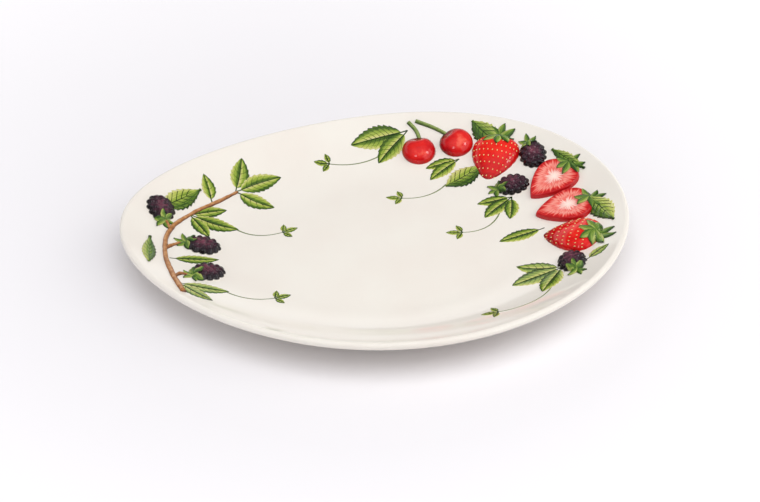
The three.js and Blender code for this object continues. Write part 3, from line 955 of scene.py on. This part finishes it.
def cap(node, berry, place, centre, reach, count, seed):
    shuffle = random.Random(seed)
    start = Vector((centre, 0.0))
    sepals = []
    for i in range(count):
        angle = math.tau * (i + shuffle.uniform(-0.15, 0.15)) / count
        length = reach * shuffle.uniform(0.85, 1.1)
        way = Vector((math.cos(angle), math.sin(angle)))
        side = Vector((-way.y, way.x)) * shuffle.uniform(-0.25, 0.25) * length
        root, bend, tip = start - way * SEPAL_START, start + way * length * 0.5 + side, start + way * length
        breadth = leaf_width(reach * SEPAL_BREADTH, fullest=0.4)
        fold = SEPAL_FOLD + SEPAL_STEP * i
        sepals.append(stroke(bezier(root, bend, tip), breadth, 12, 6, height=fold, crown=SEPAL_CROWN))
    piece = laid(node + "_glazed", sepals, berry, CAP_THICKNESS, at=seat(*place), under=PLATE)
    finished(piece, SPRIG_GREEN, node)


def caps(kind, berries, places, centre, reach, count, first_seed):
    """A cap for each berry of a kind: centre is its place along the berry, count its number of sepals."""
    for i, (berry, place) in enumerate(zip(berries, places), 1):
        cap(f"{kind}_cap_{i}", berry, place[:3], centre, reach, count, first_seed + i)


caps(
    "strawberry", strawberries, STRAWBERRIES,
    centre=STRAWBERRY_LENGTH / 2 - 2.5, reach=13, count=8, first_seed=0,
)
caps(
    "strawberry_half", half_berries, HALF_BERRIES,
    centre=HALF_BERRY_LENGTH / 2 - 1.0, reach=12, count=7, first_seed=10,
)
caps(
    "bramble", brambles, BRAMBLES,
    centre=BRAMBLE_LENGTH / 2 - 1.0, reach=8.5, count=6, first_seed=20,
)


# Stalks and the twig

def stem(name, places, radius, taper=1.0, knots=0.0):
    """A round stem through places on the dish, half bedded in it."""
    bpy.ops.curve.primitive_nurbs_path_add()
    piece = bpy.context.object
    piece.name = name
    curve = piece.data
    curve.splines.clear()
    spline = curve.splines.new("BEZIER")
    spline.bezier_points.add(len(places) - 1)
    for i, (point, place) in enumerate(zip(spline.bezier_points, places)):
        point.co = dish_point(*place, lift=radius * STEM_LIFT) * MM
        point.handle_left_type = point.handle_right_type = "AUTO"
        point.radius = 1 + (taper - 1) * i / (len(places) - 1) + knots * (i % 2)
    curve.dimensions = "3D"
    curve.resolution_u = 10
    curve.bevel_depth = radius * MM
    curve.bevel_resolution = 5
    curve.use_fill_caps = True
    pick(piece)
    bpy.ops.object.convert(target="MESH")
    return bpy.context.object


def stained_with_painted_light(piece, base, gain):
    """Readies a stem for its stain, which covers it, and for a painted highlight where it faces up."""
    measured(piece, "rise", lambda point, normal: 1.0)
    measured(piece, "crown", lambda point, normal: base + gain * normal.z)


def cherry_stalk(index, places):
    name = f"cherry_stalk_{index}"
    piece = sewn(stem(name + "_glazed", places, STALK_RADIUS, taper=1.15))
    stained_with_painted_light(piece, base=0.15, gain=0.5)
    finished(settled(piece), STALK_GREEN, name)


def bramble_twig():
    branches = [stem("twig", TWIG, TWIG_RADIUS, taper=0.6, knots=0.18)]
    branches += [stem("spur", places, STALK_RADIUS, taper=0.8) for places in TWIG_SPURS]
    piece = sewn(joined("bramble_twig_glazed", branches))
    bark = bpy.data.textures.new("bark", "CLOUDS")
    bark.noise_scale = BARK_GRAIN * MM
    modified(
        piece, "DISPLACE", texture=bark, texture_coords="LOCAL", strength=BARK_DEPTH * MM, mid_level=0.5,
    )
    stained_with_painted_light(piece, base=0.2, gain=0.45)
    finished(settled(piece), TWIG_BROWN, "bramble_twig")


for i, places in enumerate(CHERRY_STALKS, 1):
    cherry_stalk(i, places)
bramble_twig()


# Leaves in relief

def relief_leaf(index, bearing, share, turn, length, width):
    def place(u, v):
        edge = abs(2 * v - 1)
        full = width / 2 * math.sin(math.pi * min(1.0, max(0.0, u)) ** LEAF_FULLNESS)
        saw = 1 + LEAF_TOOTH_DEPTH * (1 - 2 * (u * LEAF_TEETH % 1.0)) * edge**4
        return length * (0.5 - u), (1 - 2 * v) * max(LEAF_LEAST, full) * saw

    def lift(u, v):
        edge = abs(2 * v - 1)
        midrib = MIDRIB_DEPTH * bell(edge / MIDRIB_SPREAD)
        wave = math.cos(math.tau * (u * VEIN_SWELLS - VEIN_SLANT * edge))
        veins = VEIN_SWELL * wave * edge * (1 - edge)
        return LEAF_EDGE + (LEAF_RELIEF - LEAF_EDGE) * (1 - edge**3) - midrib + veins

    def vein(root, hand):
        def way(t):
            return root + VEIN_ADVANCE * t, 0.5 + VEIN_CROSSING * hand * t

        def spot(t, across):
            u, v = way(t)
            return place(u + (0.5 - across) * hand * VEIN_WIDTH / length, v)

        return darkened(sheet(10, 2, spot, lambda t, across: lift(*way(t)) + VEIN_LIFT))

    name = f"relief_leaf_{index}"
    rib_line = bezier(Vector((length / 2, 0)), Vector((0, 0)), Vector((-length * RIB_END, 0)))
    rib = darkened(thin_line(rib_line, width=1.2, loss=0.6, columns=24, height=RIB_LIFT, crown=STROKE_CROWN))
    roots = steps(*VEIN_ROOTS, VEIN_PAIRS - 1)
    veins = [vein(root, hand) for root in roots for hand in (1, -1)]
    blade = sheet(72, 20, place, lift)
    at = seat(bearing, share, turn)
    piece = laid(name + "_glazed", [blade, rib, *veins], PLATE, LEAF_THICKNESS, at=at)
    finished(piece, SPRIG_GREEN if index % 2 else LEAF_GREEN, name)


for i, place in enumerate(RELIEF_LEAVES, 1):
    relief_leaf(i, *place)


# Painted leaves and runners

def heading(degrees):
    return Vector((math.cos(math.radians(degrees)), math.sin(math.radians(degrees))))


def half_blade(line, breadth, teeth, hand, height):
    """One side of a toothed leaf, dark at one edge and light at the other."""
    columns = teeth * TOOTH_STEPS

    def place(u, v):
        point, way = line(u)
        side = Vector((-way.y, way.x))
        tooth = round(u * columns) % TOOTH_STEPS / TOOTH_STEPS
        reach = breadth(u) / 2 * (1 - TOOTH_DEPTH + TOOTH_DEPTH * tooth)
        return point + side * reach * (v if hand > 0 else v - 1)

    return sheet(columns, 6, place, lambda u, v: height + BLADE_CROWN * math.sin(math.pi * v))


def leaflet(base, degrees, length, width, height):
    """Brush strokes of one leaf: two half blades, its stalk, the rib and the side veins."""
    way = heading(degrees)
    side = Vector((-way.y, way.x))
    stalk_end = base + way * length * PAINTED_STALK
    tip = base + way * length
    sway = LEAF_SWAY * length * math.sin(math.radians(3 * degrees))
    line = bezier(stalk_end, (stalk_end + tip) / 2 + side * sway, tip)
    stalk = bezier(base, (base + stalk_end) / 2, stalk_end)
    breadth = leaf_width(width, fullest=0.44, sharpness=0.8)
    teeth = max(4, round(length / TOOTH_LENGTH))
    blades = [half_blade(line, breadth, teeth, hand, height) for hand in (1, -1)]
    strokes = []
    rib_height = height + PAINTED_RIB_LIFT
    vein_height = height + PAINTED_VEIN_LIFT
    strokes.append(thin_line(stalk, width=0.9, loss=0.0, columns=4, height=height, crown=STROKE_CROWN))
    strokes.append(thin_line(line, width=0.8, loss=0.7, columns=24, height=rib_height))
    for share in steps(*PAINTED_VEIN_ROOTS, max(2, teeth - 4)):
        root, along = line(share)
        end_share = share + PAINTED_VEIN_ADVANCE
        margin, _ = line(end_share)
        for hand in (1, -1):
            across = Vector((-along.y, along.x)) * hand * breadth(end_share) * PAINTED_VEIN_CROSSING
            vein = bezier(root, root.lerp(margin, 0.35) + across * 0.6, margin + across)
            strokes.append(thin_line(vein, width=0.42, loss=0.6, columns=8, height=vein_height))
    return blades + [darkened(drawn) for drawn in strokes]


def painted_leaf(name, base, leaflets):
    strokes = []
    for i, (degrees, length, width) in enumerate(leaflets):
        strokes += leaflet(base, degrees, length, width, PAINT_LIFT + PAINT_STEP * i)
    finished(laid(name, strokes, PLATE, PAINT_THICKNESS), LEAF_GREEN)


def runner(index, start, bend, end):
    line = bezier(Vector(start), Vector(bend), Vector(end))
    mark = thin_line(line, width=1.1, loss=0.45, columns=80, height=RUNNER_LIFT)
    piece = laid(f"painted_runner_{index}", [mark], PLATE, RUNNER_THICKNESS)
    finished(piece, LINE_GREEN)
    point, way = line(1.0)
    ahead = math.degrees(math.atan2(way.y, way.x))
    painted_leaf(f"painted_tuft_{index}", point, [
        (ahead, *TUFT_MIDDLE), (ahead + TUFT_SPREAD, *TUFT_SIDE), (ahead - TUFT_SPREAD, *TUFT_SIDE),
    ])


for i, (x, y, leaflets) in enumerate(PAINTED_LEAVES, 1):
    painted_leaf(f"painted_leaf_{i}", Vector((x, y)), leaflets)
for i, points in enumerate(RUNNERS, 1):
    runner(i, *points)


# Floor, light and camera, in metres

FLOOR_SIZE = 12
CAMERA_AZIMUTH = math.radians(-11.86)
CAMERA_ELEVATION = math.radians(38.0)
CAMERA_TARGET = Vector((-6.72, -33.48, RIM_HEIGHT)) * MM
CAMERA_DISTANCE = 1.3
SENSOR_WIDTH = 36.0  # this and the lens in mm
LENS = 87.96


def floor():
    # White paper: matt, with a painted glow that whitens it away from the plate, for the eye and in mirrored
    # views
    bpy.ops.mesh.primitive_plane_add(size=FLOOR_SIZE)
    piece = bpy.context.object
    piece.name = "floor"
    material, tree, shader = new_material("white_paper_sweep")
    shader.inputs["Base Color"].default_value = linear("#F1EFF1")
    shader.inputs["Roughness"].default_value = 0.9
    shader.inputs["Specular IOR Level"].default_value = 0.0
    shader.inputs["Emission Color"].default_value = linear("#FFFFFF")
    seen = add(tree, "ShaderNodeLightPath")
    direct = add(tree, "ShaderNodeMath", {
        0: seen.outputs["Is Camera Ray"], 1: seen.outputs["Is Glossy Ray"],
    }, operation="ADD")
    shown = add(tree, "ShaderNodeMath", {
        0: direct.outputs["Value"], 1: seen.outputs["Is Transmission Ray"],
    }, operation="ADD", use_clamp=True)
    place = add(tree, "ShaderNodeTexCoord").outputs["Object"]
    far = add(tree, "ShaderNodeVectorMath", {0: place}, operation="LENGTH")
    # painted glow: none near the plate, rising further out
    painted_glow = add(tree, "ShaderNodeMapRange", {
        "Value": far.outputs["Value"],
        "From Min": 0.2, "From Max": 0.6, "To Min": 0.0, "To Max": 0.25,
    })
    lift = add(tree, "ShaderNodeMath", {
        0: shown.outputs["Value"], 1: painted_glow.outputs["Result"],
    }, operation="MULTIPLY")
    tree.links.new(lift.outputs["Value"], shader.inputs["Emission Strength"])
    piece.data.materials.append(material)


def studio():
    """The room round the plate, as the world's light."""
    world = bpy.data.worlds.new("studio")
    bpy.context.scene.world = world
    world.use_nodes = True
    tree = world.node_tree
    tree.nodes.clear()
    way = add(tree, "ShaderNodeTexCoord").outputs["Generated"]
    axes = add(tree, "ShaderNodeSeparateXYZ", {"Vector": way})
    # Behind, a dark strip stands low down, except on the right, under a bright band: the gloss shows both
    clear = add(tree, "ShaderNodeMapRange", {
        "Value": axes.outputs["X"],
        "From Min": 0.08, "From Max": 0.35, "To Min": 0.0, "To Max": 0.3,
    })
    up = add(tree, "ShaderNodeMath", {
        0: axes.outputs["Z"], 1: clear.outputs["Result"],
    }, operation="ADD")
    backdrop = add(tree, "ShaderNodeValToRGB", {"Fac": up.outputs["Value"]}, stops=[
        (0.0, "#2E2C33"), (0.23, "#38363D"), (0.27, "#F2F1F5"),
        (0.45, "#FFFFFF"), (0.62, "#78787C"), (1.0, "#8C8C90"),
    ])
    # In front, the room is dim up to its pale ceiling
    room = add(tree, "ShaderNodeValToRGB", {"Fac": axes.outputs["Z"]}, stops=[
        (0.0, "#55535A"), (0.4, "#5A585F"), (1.0, "#E0E0E4"),
    ])
    behind = add(tree, "ShaderNodeMapRange", {
        "Value": axes.outputs["Y"], "From Min": -0.1, "From Max": 0.3,
    })
    dome = add(tree, "ShaderNodeMix", {
        "Factor": behind.outputs["Result"],
        MIX_A: room.outputs["Color"], MIX_B: backdrop.outputs["Color"],
    }, data_type="RGBA")
    light = add(tree, "ShaderNodeBackground", {"Color": dome.outputs[MIX_RESULT], "Strength": 1.0})
    add(tree, "ShaderNodeOutputWorld", {"Surface": light.outputs["Background"]})


def softbox(name, at, size, power, aim=(0, 0, 0), colour="#FFFFFF", mirrored=False):
    """A rectangular light, out of the picture; the gloss mirrors it only if it is said to."""
    bpy.ops.object.light_add(type="AREA", location=at)
    lamp = bpy.context.object
    lamp.name = name
    lamp.data.shape = "RECTANGLE"
    lamp.data.size, lamp.data.size_y = size
    lamp.data.energy = power
    lamp.data.color = linear(colour)[:3]
    lamp.visible_camera = False
    lamp.visible_glossy = mirrored
    lamp.rotation_euler = (Vector(aim) - Vector(at)).to_track_quat("-Z", "Y").to_euler()
    return lamp


def lamps():
    # Most lights are polarised: the gloss mirrors the studio and the side light, the berries two windows
    softbox("key", at=(1.7, 0.1, 1.5), size=(1.8, 1.8), power=10.5, colour="#FFFBF4")
    softbox("overhead", at=(0, -0.45, 1.9), size=(1.8, 1.8), power=19.8)
    softbox("fill", at=(-1.3, -0.8, 0.7), size=(2.0, 1.2), power=6.0)
    softbox("side", at=(1.4, -0.9, 0.8), size=(2.4, 1.6), power=11.0, mirrored=True)
    window = {"size": (0.26, 0.34), "mirrored": True}
    left = softbox("window_left", at=(-0.55, -0.75, 1.0), power=1.3, **window)
    right = softbox("window_right", at=(0.85, -0.35, 0.95), power=1.8, aim=(0.1, 0, 0), **window)
    berries = bpy.data.collections.new("berries")
    for piece in bpy.data.objects:
        if piece.active_material in (CHERRY_RED, STRAWBERRY_RED, CUT_BERRY, BRAMBLE_PURPLE):
            berries.objects.link(piece)
    for lamp in (left, right):
        lamp.light_linking.receiver_collection = berries


def camera():
    back = Vector((
        math.sin(CAMERA_AZIMUTH) * math.cos(CAMERA_ELEVATION),
        -math.cos(CAMERA_AZIMUTH) * math.cos(CAMERA_ELEVATION),
        math.sin(CAMERA_ELEVATION),
    ))
    bpy.ops.object.camera_add(location=CAMERA_TARGET + back * CAMERA_DISTANCE)
    eye = bpy.context.object
    eye.rotation_euler = (-back).to_track_quat("-Z", "Y").to_euler()
    eye.data.sensor_width = SENSOR_WIDTH
    eye.data.lens = LENS
    bpy.context.scene.camera = eye


floor()
studio()
lamps()
camera()
bpy.context.scene.view_settings.view_transform = "Standard"
